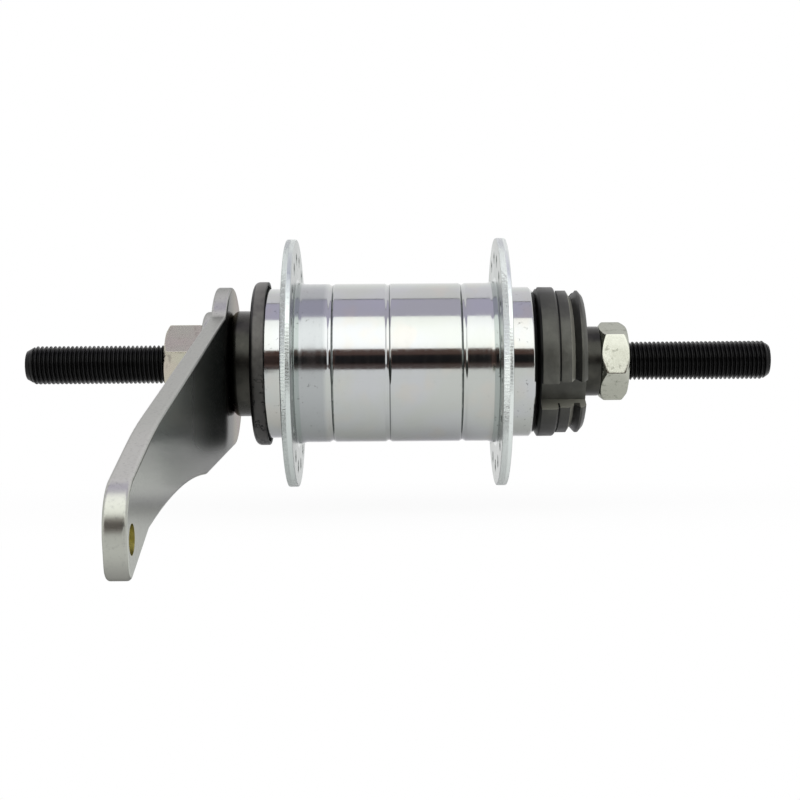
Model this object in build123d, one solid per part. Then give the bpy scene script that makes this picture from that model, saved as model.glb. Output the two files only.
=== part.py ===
from build123d import *
import os
from math import acos, atan2, cos, hypot, radians, sin, sqrt, tan

os.makedirs("parts", exist_ok=True)

# Coaster brake hub for a 36 spoke wheel, in millimetres.
# The axle lies along Y, the driver is on the +Y side, and the brake arm points to +X and a little down.
# The origin is on the axle, midway between the two spoke flanges.
# Stations along the axle are stacked outwards from the flanges, so a changed length moves what follows it.

# Axle, and the nuts screwed on it. Under a nut or cone both threads are drawn at the thread's middle radius.
axle_radius = 4.7625
axle_thread_radius = 4.42
axle_left_spare = 34.6
axle_right_spare = 35.1
axle_left_chamfer = 2.2
axle_right_chamfer = 1.7
axle_end_drop = 1.1
thread_fit = 0.05
nut_across_flats = 17.0
nut_bevel_height = 0.8
nut_bevel_drop = 1.3
nut_countersink = 0.8
left_nut_height = 9.2
left_nut_turn = 16.0
right_nut_height = 6.6
right_nut_turn = -22.0

# Brake arm and its washer
washer_radius = 12.8
washer_thickness = 3.1
washer_round = 1.1
washer_fit = 0.2
arm_thickness = 3.8
arm_edge_round = 0.7
arm_head_radius = 19.4
arm_head_drop = 0.7
arm_head_blend = 9.0
arm_top_offset = 14.5
arm_shoulder_set_back = 29.4
arm_shoulder_offset = 15.95
arm_shoulder_round = 150.0
arm_belly_offset = 11.1
arm_belly_reach = 56.0
arm_belly_round = 12.0
arm_belly_sag = 2.0
arm_waist_offset = 1.65
arm_waist_set_back = 18.9
arm_tip_top_offset = 13.4
arm_tip_width = 14.5
arm_reach = 146.4
arm_tip_top_round = 8.0
arm_tip_low_round = 3.0
arm_hole_radius = 2.4
arm_hole_set_back = 4.0
arm_hole_offset = 5.4
arm_droop = 14.25

# Lever cone, the dust cap on it and the expander on its inner end
lever_stub_radius = 9.0
lever_stub_flats = 14.6
lever_stub_set_back = 0.2
lever_barrel_radius = 12.9
lever_barrel_length = 5.7
lever_edge_round = 1.7
flats_fit = 0.05
cap_radius = 20.0
cap_depth = 3.2
cap_wall = 0.8
cap_round = 0.7
cap_seat_radius = 12.55
cap_seat_fit = 0.02
cap_end_gap = 0.3
expander_radius = 11.9
expander_collar = 2.5
expander_taper_length = 9.0
expander_stub_radius = 6.6
expander_stub_flats = 11.2
expander_key_radius = 13.9
expander_key_width = 5.0
expander_key_length = 10.5
expander_offset = 1.4

# Hub shell
barrel_radius = 19.4
flange_radius = 30.3
flange_thickness = 2.4
flange_gap = 48.2
flange_root_round = 1.2
flange_edge_round = 0.3
left_boss_radius = 18.3
left_boss_length = 6.6
right_boss_radius = 18.33
right_boss_length = 6.6
right_boss_chamfer = 1.0
groove_stations = (-15.6, -2.0, 15.9)
groove_width = 1.6
groove_depth = 0.35
spoke_count = 18
spoke_circle_radius = 25.5
spoke_hole_radius = 1.45
spoke_phase = -1.0
drum_radius = 15.0

# Ball bearings of the shell
main_ball_radius = 3.175
main_ball_count = 10
left_ball_circle = 13.4
right_ball_circle = 12.4
main_ball_inset = 3.6
left_cup_radius = 17.35
right_cup_radius = 16.6
cup_fit = 0.01
cup_step = 0.1
cup_floor = 0.6
cup_inset = 0.3
race_gap = 0.1
race_lip = 1.15

# Ball bearing of the driver
driver_ball_radius = 2.38125
driver_ball_count = 9
driver_ball_circle = 8.9
driver_ball_depth = 3.7
driver_cup_floor = 0.7

# Ball cages
cage_band = 1.0
cage_pocket_gap = 0.12
cage_rim = 0.65
cage_finger = 0.4
cage_room = 0.6

# Driver
driver_gap = 0.3
driver_radius = 18.33
driver_ring_length = 4.9
driver_chamfer_length = 0.9
driver_chamfer_drop = 1.5
undercut_width = 0.4
undercut_depth = 0.5
sprocket_seat_radius = 17.45
sprocket_seat_length = 2.4
snap_groove_width = 2.0
snap_groove_depth = 1.55
driver_lip_length = 0.9
driver_nose_length = 1.0
driver_nose_drop = 1.15
lug_slot_count = 3
lug_slot_width = 6.7
lug_slot_floor = 13.4
lug_slot_set_back = 0.6
lug_slot_angle = -29.0
driver_bore_radius = 5.4
seal_radius = 12.2
seal_thickness = 0.8
seal_gap = 0.3
seal_fit = 0.03
seal_inset = 0.1

# Adjusting cone
cone_radius = 8.5
cone_reach = 4.4
cone_round = 0.4

# Driver screw and the clutch cone that runs on it
screw_starts = 3
screw_lead = 24.0
screw_radius = 9.0
screw_root_radius = 7.5
screw_length = 18.0
screw_end = 6.0
screw_lead_in = 1.0
screw_depth_gap = 0.2
screw_rib_angle = 52.0
screw_flank_angle = 8.0
screw_side_angle = 4.0
screw_end_gap = 0.5
screw_embed = 0.5
taper_angle = 15.5
clutch_radius = 14.6
clutch_gap = 0.06
clutch_shoulder = 5.0
clutch_taper_start = 9.9
clutch_taper_length = 10.1
clutch_nose_bore = 6.0
clutch_nose_land = 1.5
clutch_nose_taper = 9.0
throat_land = 1.2

# Retarder spring in its groove on the clutch cone
spring_groove_start = 6.2
spring_groove_width = 1.6
spring_groove_radius = 12.0
spring_gap = 0.15
spring_band = 1.7
spring_split = 12.0

# Brake shoes
shoe_gap = 0.5
shoe_left = -20.0
shoe_length = 22.0
shoe_bore_radius = 9.9
shoe_seat_gap = 0.45
shoe_key_gap = 0.4

slope = tan(radians(taper_angle))

# Stations along the axle, left side
flange_left = -flange_gap / 2
shell_left = flange_left - flange_thickness - left_boss_length
cap_inside = shell_left - cap_end_gap
cap_face = cap_inside - cap_wall
arm_right = cap_face - lever_barrel_length
arm_left = arm_right - arm_thickness
washer_left = arm_left - washer_thickness
left_face = washer_left - left_nut_height
left_balls = shell_left + main_ball_inset
expander_left = left_balls + main_ball_radius + expander_offset
expander_taper_left = expander_left + expander_collar
expander_right = expander_taper_left + expander_taper_length

# Stations along the axle, right side
flange_right = flange_gap / 2
shell_right = flange_right + flange_thickness + right_boss_length
driver_left = shell_right + driver_gap
ring_right = driver_left + driver_ring_length
seat_left = ring_right + undercut_width
seat_right = seat_left + sprocket_seat_length
snap_right = seat_right + snap_groove_width
lip_right = snap_right + driver_lip_length
driver_right = lip_right + driver_nose_length
cone_right = driver_right + cone_reach
right_face = cone_right + right_nut_height
right_balls = shell_right - main_ball_inset
driver_balls = driver_right - driver_ball_depth
screw_right = screw_end + screw_length

# Tapers that the clutch cone works in
clutch_right = clutch_taper_start + clutch_taper_length
clutch_small_radius = clutch_radius - clutch_taper_length * slope
nose_taper_right = clutch_shoulder - clutch_nose_land
nose_taper_left = nose_taper_right - clutch_nose_taper
shell_taper_start = clutch_taper_start - (drum_radius - clutch_radius - clutch_gap) / slope
throat_left = clutch_right + throat_land
throat_radius = drum_radius - (throat_left - shell_taper_start) * slope


def turned(*outline):
    """Solid turned about the axle from points given as radius and station."""
    return revolve(make_face(Polyline(*outline, close=True)), axis=Axis.Y)


def tube(inner, outer, start, end):
    """Tube about the axle, from one station to another."""
    return turned((inner, start), (outer, start), (outer, end), (inner, end))


def rod(radius, start, end):
    """Round bar on the axle's line, from one station to another."""
    return turned((0, start), (radius, start), (radius, end), (0, end))


def ball_path(circle, ball):
    """Radius of the race's round section about the centre of a ball."""
    return revolve(Pos(circle, 0) * Circle(ball + race_gap), axis=Axis.Y)


def cut_race(piece, circle, ball, station):
    """Piece with the race for one row of balls ground into it."""
    return piece - Pos(0, station, 0) * ball_path(circle, ball)


def swing(shape, angle):
    """Shape turned about the axle, from +X towards +Z."""
    return Rot(0, -angle, 0) * shape


def slab(width, start, end):
    """Block of one width in Z and wider than the hub in X, for flats and keys."""
    return Pos(0, (start + end) / 2, 0) * Box(2 * flange_radius, end - start, width)


def cone_tube(start, start_radius, end, end_radius, bore):
    """Tapered ring about the axle with a straight bore."""
    return turned((bore, start), (start_radius, start), (end_radius, end), (bore, end))


def plate(outline, start, thickness):
    """Flat plate across the axle, its outline given in X and Z."""
    return extrude(Plane.XZ.offset(-start) * outline, amount=-thickness)


def race_reach(step, ball):
    """Axial distance from a ball's centre to where its race meets a shoulder one step out."""
    return sqrt((ball + race_gap) ** 2 - step ** 2)


def save(shape, name):
    export_step(shape, f"parts/{name}.step")


def axle():
    left = left_face - axle_left_spare
    right = right_face + axle_right_spare
    end_radius = axle_radius - axle_end_drop
    return turned(
        (0, left),
        (end_radius, left),
        (axle_radius, left + axle_left_chamfer),
        (axle_radius, left_face),
        (axle_thread_radius, left_face),
        (axle_thread_radius, right_face),
        (axle_radius, right_face),
        (axle_radius, right - axle_right_chamfer),
        (end_radius, right),
        (0, right),
    )


def threaded_bore(start, end):
    return rod(axle_thread_radius + thread_fit, start, end)


def locknut(start, height, turn):
    """Hexagon nut, one corner turned up from +X, with chamfered corners and a countersunk bore."""
    corner = nut_across_flats / sqrt(3)
    end = start + height
    blank = plate(RegularPolygon(corner, 6), start, height)
    turned_corners = turned(
        (0, start),
        (corner - nut_bevel_drop, start),
        (corner, start + nut_bevel_height),
        (corner, end - nut_bevel_height),
        (corner - nut_bevel_drop, end),
        (0, end),
    )
    bore = axle_thread_radius + thread_fit
    countersunk_bore = turned(
        (0, start),
        (bore + nut_countersink, start),
        (bore, start + nut_countersink),
        (bore, end - nut_countersink),
        (bore + nut_countersink, end),
        (0, end),
    )
    return (swing(blank, turn) & turned_corners) - countersunk_bore


def arm_washer():
    bore = axle_radius + washer_fit
    section = make_face(
        Polyline(
            (bore, washer_left),
            (washer_radius, washer_left),
            (washer_radius, arm_left),
            (bore, arm_left),
            close=True,
        )
    )
    rim = section.vertices().sort_by(Axis.X)[-2:]
    return revolve(fillet(rim, washer_round), axis=Axis.Y)


def arm_outline():
    """Outline of the arm in its own axes, u along the arm and w towards its top edge."""
    rise = arm_top_offset + arm_head_drop
    top_start = (sqrt(arm_head_radius ** 2 - rise ** 2), arm_top_offset)
    shoulder = (arm_reach - arm_shoulder_set_back, arm_shoulder_offset)
    top_tip = (arm_reach, arm_tip_top_offset)
    low_tip = (arm_reach, arm_tip_top_offset - arm_tip_width)
    waist = (arm_reach - arm_waist_set_back, arm_waist_offset)
    belly = (arm_belly_reach, -arm_belly_offset)
    middle = ((belly[0] + waist[0]) / 2, (belly[1] + waist[1]) / 2 + arm_belly_sag)
    below_head = arm_head_drop - arm_belly_offset
    tangent_angle = atan2(below_head, belly[0]) - acos(arm_head_radius / hypot(belly[0], below_head))
    tangent = (arm_head_radius * cos(tangent_angle), arm_head_radius * sin(tangent_angle) - arm_head_drop)
    outline = make_face(
        [
            Line(top_start, shoulder),
            Line(shoulder, top_tip),
            Line(top_tip, low_tip),
            Line(low_tip, waist),
            ThreePointArc(waist, middle, belly),
            Line(belly, tangent),
            ThreePointArc(tangent, (-arm_head_radius, -arm_head_drop), top_start),
        ]
    )
    corners = (
        (top_start, arm_head_blend),
        (shoulder, arm_shoulder_round),
        (top_tip, arm_tip_top_round),
        (low_tip, arm_tip_low_round),
        (belly, arm_belly_round),
    )
    for place, radius in corners:
        nearest = outline.vertices().sort_by_distance(Vector(*place))[0]
        outline = fillet(nearest, radius)
    return outline


def lever_stub(radius, flats, start, end):
    """Round stub with two flats."""
    return rod(radius, start, end) & slab(flats, start, end)


def brake_arm():
    outline = Rot(0, 0, -arm_droop) * arm_outline()
    blank = plate(outline, arm_left, arm_thickness)
    edges = blank.faces().sort_by(Axis.Y)[0].edges() + blank.faces().sort_by(Axis.Y)[-1].edges()
    blank = fillet(edges, arm_edge_round)
    seat = lever_stub(
        lever_stub_radius + flats_fit, lever_stub_flats + 2 * flats_fit, arm_left, arm_right
    )
    clip_hole = Pos(arm_reach - arm_hole_set_back, arm_hole_offset, 0) * Circle(arm_hole_radius)
    clip_hole = plate(Rot(0, 0, -arm_droop) * clip_hole, arm_left, arm_thickness)
    return blank - swing(seat, -arm_droop) - clip_hole


def lever_cone():
    section = make_face(
        Polyline(
            (0, arm_right),
            (lever_barrel_radius, arm_right),
            (lever_barrel_radius, cap_face),
            (cap_seat_radius, cap_face),
            (cap_seat_radius, left_balls),
            (left_ball_circle - main_ball_radius - race_gap, left_balls),
            (left_ball_circle - main_ball_radius - race_gap, expander_left),
            (0, expander_left),
            close=True,
        )
    )
    edge = section.vertices().sort_by_distance(Vector(lever_barrel_radius, arm_right))[0]
    body = revolve(fillet(edge, lever_edge_round), axis=Axis.Y)
    body = cut_race(body, left_ball_circle, main_ball_radius, left_balls)
    start = arm_left + lever_stub_set_back
    arm_stub = lever_stub(lever_stub_radius, lever_stub_flats, start, arm_right)
    inner_stub = lever_stub(expander_stub_radius, expander_stub_flats, expander_left, expander_right)
    body = body + swing(arm_stub, -arm_droop) + inner_stub
    return body - threaded_bore(start, expander_right)


def left_dust_cap():
    inner = cap_radius - cap_wall
    bore = cap_seat_radius + cap_seat_fit
    section = make_face(
        Polyline(
            (bore, cap_face),
            (cap_radius, cap_face),
            (cap_radius, cap_face + cap_depth),
            (inner, cap_face + cap_depth),
            (inner, cap_inside),
            (bore, cap_inside),
            close=True,
        )
    )
    corner = section.vertices().sort_by_distance(Vector(cap_radius, cap_face))[0]
    return revolve(fillet(corner, cap_round), axis=Axis.Y)


def expander_surface(station):
    return expander_radius - (station - expander_taper_left) * slope


def brake_expander():
    body = rod(expander_radius, expander_left, expander_taper_left) + cone_tube(
        expander_taper_left, expander_radius, expander_right, expander_surface(expander_right), 0
    )
    key_right = expander_left + expander_key_length
    keys = rod(expander_key_radius, expander_left, key_right)
    keys = keys & slab(expander_key_width, expander_left, key_right)
    seat = lever_stub(
        expander_stub_radius + flats_fit, expander_stub_flats + 2 * flats_fit, expander_left, expander_right
    )
    return body + keys - seat


def hub_shell():
    left_cup_end, right_cup_end = left_cup_floor(), right_cup_floor()
    outline = [
        (drum_radius, left_cup_end),
        (left_cup_radius + cup_fit, left_cup_end),
        (left_cup_radius + cup_fit, shell_left),
        (left_boss_radius, shell_left),
        (left_boss_radius, flange_left - flange_thickness),
        (flange_radius, flange_left - flange_thickness),
        (flange_radius, flange_left),
        (barrel_radius, flange_left),
    ]
    for station in groove_stations:
        outline += [
            (barrel_radius, station - groove_width / 2),
            (barrel_radius - groove_depth, station - groove_width / 2),
            (barrel_radius - groove_depth, station + groove_width / 2),
            (barrel_radius, station + groove_width / 2),
        ]
    cage_room_radius = right_ball_circle + race_lip
    cage_room_left = right_balls - main_ball_radius - cage_pocket_gap - cage_rim - cage_room
    outline += [
        (barrel_radius, flange_right),
        (flange_radius, flange_right),
        (flange_radius, flange_right + flange_thickness),
        (right_boss_radius, flange_right + flange_thickness),
        (right_boss_radius, shell_right - right_boss_chamfer),
        (right_boss_radius - right_boss_chamfer, shell_right),
        (right_cup_radius + cup_fit, shell_right),
        (right_cup_radius + cup_fit, right_cup_end),
        (cage_room_radius, right_cup_end),
        (cage_room_radius, cage_room_left),
        (throat_radius, cage_room_left),
        (throat_radius, throat_left),
        (drum_radius, shell_taper_start),
    ]
    section = make_face(Polyline(*outline, close=True))
    for station in (flange_left, flange_right):
        root = section.vertices().sort_by_distance(Vector(barrel_radius, station))[0]
        section = fillet(root, flange_root_round)
    rims = section.vertices().sort_by(Axis.X)[-4:]
    section = fillet(rims, flange_edge_round)
    shell = revolve(section, axis=Axis.Y)
    pitch = 360 / spoke_count
    for station, phase in ((flange_left, spoke_phase), (flange_right, spoke_phase + pitch / 2)):
        drill = Rot(90, 0, 0) * Cylinder(spoke_hole_radius, 4 * flange_thickness)
        drill = Pos(spoke_circle_radius, station, 0) * drill
        shell = shell - [swing(drill, phase + k * pitch) for k in range(spoke_count)]
    return shell


def left_cup_floor():
    """Station of the left cup's inner end, whose shoulder lets the shoes pass."""
    step = drum_radius + cup_step - left_ball_circle
    return left_balls + race_reach(step, main_ball_radius) + cup_floor


def right_cup_floor():
    return right_balls - race_reach(race_lip, main_ball_radius) - cup_floor


def bearing_cup(outer, shoulder, circle, mouth, balls, floor):
    """Pressed cup, open to its mouth, with the race in its corner."""
    bore = circle + main_ball_radius + race_gap
    blank = turned(
        (shoulder, floor), (outer, floor), (outer, mouth), (bore, mouth), (bore, balls), (shoulder, balls)
    )
    return cut_race(blank, circle, main_ball_radius, balls)


def left_bearing_cup():
    shoulder = drum_radius + cup_step
    mouth = shell_left + cup_inset
    return bearing_cup(left_cup_radius, shoulder, left_ball_circle, mouth, left_balls, left_cup_floor())


def right_bearing_cup():
    shoulder = right_ball_circle + race_lip
    mouth = shell_right - cup_inset
    return bearing_cup(right_cup_radius, shoulder, right_ball_circle, mouth, right_balls, right_cup_floor())


def ball_places(circle, count, station):
    return [
        (circle * cos(radians(360 / count * k)), station, circle * sin(radians(360 / count * k)))
        for k in range(count)
    ]


def ball_ring(circle, ball, count, station):
    """Row of loose balls, as separate solids."""
    return Compound([Pos(*place) * Sphere(ball) for place in ball_places(circle, count, station)])


def ball_cage(circle, ball, count, station, side):
    """Crown cage: a rim beside the balls, to the left or right by side, and fingers between them."""
    rim = station + side * (ball + cage_pocket_gap + cage_rim)
    tip = station - side * ball * cage_finger
    band = tube(circle - cage_band / 2, circle + cage_band / 2, min(rim, tip), max(rim, tip))
    pocket = Pos(circle, station, 0) * Rot(0, 90, 0) * Cylinder(ball + cage_pocket_gap, 2 * cage_band)
    return band - [swing(pocket, 360 / count * k) for k in range(count)]


def lobed_section(root, tip, rib_angle):
    """Cross section of the screw: a round core with one rib for each start."""
    half = rib_angle / 2
    edges = []

    def point(radius, angle):
        return (radius * cos(radians(angle)), radius * sin(radians(angle)))

    for k in range(screw_starts):
        middle = 360 / screw_starts * k
        following = middle + 360 / screw_starts
        rise, fall = middle - half, middle + half
        left_top, right_top = rise + screw_flank_angle, fall - screw_flank_angle
        edges += [
            Line(point(root, rise), point(tip, left_top)),
            ThreePointArc(point(tip, left_top), point(tip, middle), point(tip, right_top)),
            Line(point(tip, right_top), point(root, fall)),
            ThreePointArc(
                point(root, fall), point(root, (fall + following - half) / 2), point(root, following - half)
            ),
        ]
    return make_face(edges)


def screw(root, tip, rib_angle, start, end):
    """Right-handed screw along the axle, in step with any other at the same stations."""
    section = Plane.XZ * lobed_section(root, tip, rib_angle)
    turn = 360 * (end - start) / screw_lead
    twisted = Solid.extrude_linear_with_rotation(section.face(), (0, 0, 0), (0, end - start, 0), turn)
    return Pos(0, start, 0) * swing(twisted, -360 * start / screw_lead)


def driver():
    race_radius = right_ball_circle - main_ball_radius - race_gap
    cup_radius = driver_ball_circle + driver_ball_radius + race_gap
    cup_shoulder = driver_ball_circle + race_lip
    cup_left = driver_balls - driver_ball_radius - cage_pocket_gap - cage_rim - driver_cup_floor
    seal_floor = driver_right - seal_inset - seal_thickness
    groove_bottom = sprocket_seat_radius - snap_groove_depth
    body = turned(
        (driver_bore_radius, screw_right),
        (race_radius, screw_right),
        (race_radius, right_balls),
        (right_ball_circle - race_lip, right_balls),
        (right_ball_circle - race_lip, driver_left),
        (driver_radius - driver_chamfer_drop, driver_left),
        (driver_radius, driver_left + driver_chamfer_length),
        (driver_radius, ring_right),
        (sprocket_seat_radius - undercut_depth, ring_right),
        (sprocket_seat_radius - undercut_depth, seat_left),
        (sprocket_seat_radius, seat_left),
        (sprocket_seat_radius, seat_right),
        (groove_bottom, (seat_right + snap_right) / 2),
        (sprocket_seat_radius, snap_right),
        (sprocket_seat_radius, lip_right),
        (sprocket_seat_radius - driver_nose_drop, driver_right),
        (seal_radius, driver_right),
        (seal_radius, seal_floor),
        (cup_radius, seal_floor),
        (cup_radius, driver_balls),
        (cup_shoulder, driver_balls),
        (cup_shoulder, cup_left),
        (driver_bore_radius, cup_left),
    )
    body = cut_race(body, right_ball_circle, main_ball_radius, right_balls)
    body = cut_race(body, driver_ball_circle, driver_ball_radius, driver_balls)
    slot_start = driver_left + lug_slot_set_back
    slot_size = (driver_radius, driver_right - slot_start, lug_slot_width)
    slot = Pos(lug_slot_floor, slot_start, -lug_slot_width / 2) * Box(
        *slot_size, align=(Align.MIN, Align.MIN, Align.MIN)
    )
    for k in range(lug_slot_count):
        body = body - swing(slot, lug_slot_angle + 360 / lug_slot_count * k)
    embedded = screw_right + screw_embed
    threads = screw(screw_root_radius, screw_radius, screw_rib_angle, screw_end, embedded)
    lead_in = turned(
        (0, screw_end),
        (screw_radius - screw_lead_in, screw_end),
        (screw_radius + screw_lead_in, screw_end + 2 * screw_lead_in),
        (screw_radius + screw_lead_in, embedded),
        (0, embedded),
    )
    return body + (threads & lead_in) - rod(driver_bore_radius, screw_end, driver_balls)


def driver_dust_cap():
    end = driver_right - seal_inset
    return tube(cone_radius + seal_gap, seal_radius - seal_fit, end - seal_thickness, end)


def adjusting_cone():
    bore = axle_thread_radius + thread_fit
    race_radius = driver_ball_circle - driver_ball_radius - race_gap
    start = driver_balls - driver_ball_radius
    section = make_face(
        Polyline(
            (bore, start),
            (race_radius, start),
            (race_radius, driver_balls),
            (cone_radius, driver_balls),
            (cone_radius, cone_right),
            (bore, cone_right),
            close=True,
        )
    )
    edge = section.vertices().sort_by_distance(Vector(cone_radius, cone_right))[0]
    body = revolve(fillet(edge, cone_round), axis=Axis.Y)
    return cut_race(body, driver_ball_circle, driver_ball_radius, driver_balls)


def clutch_surface(station):
    return expander_surface(expander_right) + (station - nose_taper_left) * slope


def clutch_cone():
    nose_radius = clutch_surface(nose_taper_right)
    spring_groove_right = spring_groove_start + spring_groove_width
    body = turned(
        (clutch_nose_bore, nose_taper_left),
        (clutch_surface(nose_taper_left), nose_taper_left),
        (nose_radius, nose_taper_right),
        (nose_radius, clutch_shoulder),
        (clutch_radius, clutch_shoulder),
        (clutch_radius, spring_groove_start),
        (spring_groove_radius, spring_groove_start),
        (spring_groove_radius, spring_groove_right),
        (clutch_radius, spring_groove_right),
        (clutch_radius, clutch_taper_start),
        (clutch_small_radius, clutch_right),
        (clutch_nose_bore, clutch_right),
    )
    nut_thread = screw(
        screw_root_radius + screw_depth_gap,
        screw_radius + screw_depth_gap,
        screw_rib_angle + screw_side_angle,
        screw_end - screw_end_gap,
        clutch_right + screw_end_gap,
    )
    return body - nut_thread


def retarder_spring():
    inner = spring_groove_radius + spring_gap
    start = spring_groove_start + spring_gap
    end = spring_groove_start + spring_groove_width - spring_gap
    band = tube(inner, inner + spring_band, start, end)
    opening = 2 * inner * sin(radians(spring_split / 2))
    gap = Box(2 * spring_band, spring_groove_width, opening)
    return band - Pos(inner + spring_band / 2, (start + end) / 2, 0) * gap


def brake_shoe(up):
    """One of two shoes, above or below the axle, with a taper in each end of its bore."""
    outer = drum_radius - shoe_gap
    right = shoe_left + shoe_length
    left_radius = expander_surface(shoe_left) + shoe_seat_gap
    right_radius = clutch_surface(right) + shoe_seat_gap
    body = turned(
        (left_radius, shoe_left),
        (outer, shoe_left),
        (outer, right),
        (right_radius, right),
        (shoe_bore_radius, right - (right_radius - shoe_bore_radius) / slope),
        (shoe_bore_radius, shoe_left + (left_radius - shoe_bore_radius) / slope),
    )
    split = expander_key_width / 2 + shoe_key_gap
    half = Pos(0, shoe_left + shoe_length / 2, up * (split + outer)) * Box(
        2 * outer, shoe_length, 2 * outer
    )
    return body & half


save(axle(), "axle")
save(locknut(left_face, left_nut_height, left_nut_turn), "left_locknut")
save(locknut(cone_right, right_nut_height, right_nut_turn), "right_locknut")
save(arm_washer(), "arm_washer")
save(brake_arm(), "brake_arm")
save(lever_cone(), "lever_cone")
save(left_dust_cap(), "left_dust_cap")
save(brake_expander(), "brake_expander")
save(adjusting_cone(), "adjusting_cone")
save(hub_shell(), "hub_shell")
save(left_bearing_cup(), "left_bearing_cup")
save(right_bearing_cup(), "right_bearing_cup")
save(driver(), "driver")
save(driver_dust_cap(), "driver_dust_cap")
save(clutch_cone(), "clutch_cone")
save(retarder_spring(), "retarder_spring")
save(brake_shoe(1), "brake_shoe_upper")
save(brake_shoe(-1), "brake_shoe_lower")

bearings = (
    ("left", left_ball_circle, main_ball_radius, main_ball_count, left_balls, 1),
    ("right", right_ball_circle, main_ball_radius, main_ball_count, right_balls, -1),
    ("driver", driver_ball_circle, driver_ball_radius, driver_ball_count, driver_balls, -1),
)
for name, circle, ball, count, station, side in bearings:
    save(ball_ring(circle, ball, count, station), f"{name}_bearing_balls")
    save(ball_cage(circle, ball, count, station, side), f"{name}_ball_cage")

width = right_face - left_face
print("over locknuts", width, "axle length", axle_left_spare + width + axle_right_spare)
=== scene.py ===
"""Coaster brake hub, seen square on from the side that the brake arm points to."""

from math import cos, pi, radians, sin, tan

import bmesh
import bpy
import numpy as np
from mathutils import Matrix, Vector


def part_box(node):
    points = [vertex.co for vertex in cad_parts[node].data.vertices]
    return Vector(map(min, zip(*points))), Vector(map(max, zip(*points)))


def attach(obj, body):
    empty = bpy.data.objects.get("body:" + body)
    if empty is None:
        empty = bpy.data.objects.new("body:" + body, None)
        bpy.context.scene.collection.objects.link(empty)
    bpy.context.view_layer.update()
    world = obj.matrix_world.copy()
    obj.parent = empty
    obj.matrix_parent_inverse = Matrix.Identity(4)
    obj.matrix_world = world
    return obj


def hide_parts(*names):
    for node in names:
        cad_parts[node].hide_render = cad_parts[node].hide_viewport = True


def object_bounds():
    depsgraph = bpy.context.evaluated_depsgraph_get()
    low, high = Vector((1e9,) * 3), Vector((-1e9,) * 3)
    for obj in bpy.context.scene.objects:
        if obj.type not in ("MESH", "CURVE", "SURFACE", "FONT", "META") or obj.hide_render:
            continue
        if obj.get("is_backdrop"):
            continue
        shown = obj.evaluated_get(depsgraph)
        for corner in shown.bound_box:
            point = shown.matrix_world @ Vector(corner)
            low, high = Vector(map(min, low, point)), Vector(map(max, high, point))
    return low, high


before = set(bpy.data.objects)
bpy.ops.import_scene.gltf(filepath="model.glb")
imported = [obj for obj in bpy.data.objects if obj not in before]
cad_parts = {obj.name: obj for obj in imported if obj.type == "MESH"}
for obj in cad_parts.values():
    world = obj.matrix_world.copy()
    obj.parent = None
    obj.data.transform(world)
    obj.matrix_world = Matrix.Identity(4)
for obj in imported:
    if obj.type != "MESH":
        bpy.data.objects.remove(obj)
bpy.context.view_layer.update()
MM = 0.001  # Sizes are in millimetres, and this turns them to metres.


# Axle
# A 3/8 inch steel rod with a rolled right-hand thread, 24 to the inch, chamfered at both ends and
# blackened. The thread fades to its middle radius inside the locknuts, where it can't be seen.

CREST, RUBBED_FROM = 4.70, 4.52
THREAD_PITCH = 25.4 / 24
THREAD_DEPTH = 0.6
ROOT_FLAT, BOTH_FLANKS = 0.14, 0.70
ENGAGED_RADIUS = 4.42
LEFT_FACE, RIGHT_FACE = -56.0, 56.0
THREAD_INSIDE_NUT = 1.0
LEFT_END, LEFT_END_SLOPE = 3.55, 0.55
RIGHT_END, RIGHT_END_SLOPE = 3.75, 0.65
AROUND_AXLE = 72
ROWS_PER_THREAD = 12
SAME_POINT = 2e-6


def turned(radius, station, angle):
    """Points at a radius and angle about the axle: x = r cos a, y = station, z = r sin a, in metres."""
    radius, station, angle = np.broadcast_arrays(radius, station, angle)
    return np.stack([radius * np.cos(angle), station, radius * np.sin(angle)], axis=-1) * MM


def angles(count, start=0.0):
    """Equal steps round the axle from +X towards +Z, in radians, as one row."""
    return (radians(start) + np.arange(count) * 2 * pi / count)[None, :]


def grid_faces(rows, columns, first=0, loop=False):
    """Quads of a grid of points whose columns close on themselves, and its rows too if loop."""
    row = np.arange(rows if loop else rows - 1)[:, None]
    column = np.arange(columns)[None, :]
    here, above = row * columns, (row + 1) % rows * columns
    beside = (column + 1) % columns
    corners = np.broadcast_arrays(here + column, above + column, above + beside, here + beside)
    return first + np.stack(corners, axis=-1).reshape(-1, 4)


def piece(name, points, faces, slot, body, replaced, sharp=30.0, outward=False):
    """Closed mesh of points and quads, its doubles merged, that rides on its body for a CAD node."""
    mesh = bpy.data.meshes.new(name)
    mesh.from_pydata(points.reshape(-1, 3), [], faces.tolist())
    work = bmesh.new()
    work.from_mesh(mesh)
    bmesh.ops.remove_doubles(work, verts=work.verts, dist=SAME_POINT)
    if outward:
        bmesh.ops.recalc_face_normals(work, faces=work.faces)
    work.to_mesh(mesh)
    work.free()
    mesh.shade_smooth()
    mesh.set_sharp_from_angle(angle=radians(sharp))
    made = bpy.data.objects.new(name, mesh)
    bpy.context.scene.collection.objects.link(made)
    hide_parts(replaced)
    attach(made, body)
    return made


def thread_height(station, angle):
    """Share of the thread's depth: a triangle wave of the helix's turn, clipped to 0 in the flat root and
    to 1 on the flat crest."""
    turn = (station / THREAD_PITCH + angle / (2 * pi)) % 1.0
    return np.clip((np.abs(2 * turn - 1) - ROOT_FLAT) / BOTH_FLANKS, 0, 1)


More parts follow.
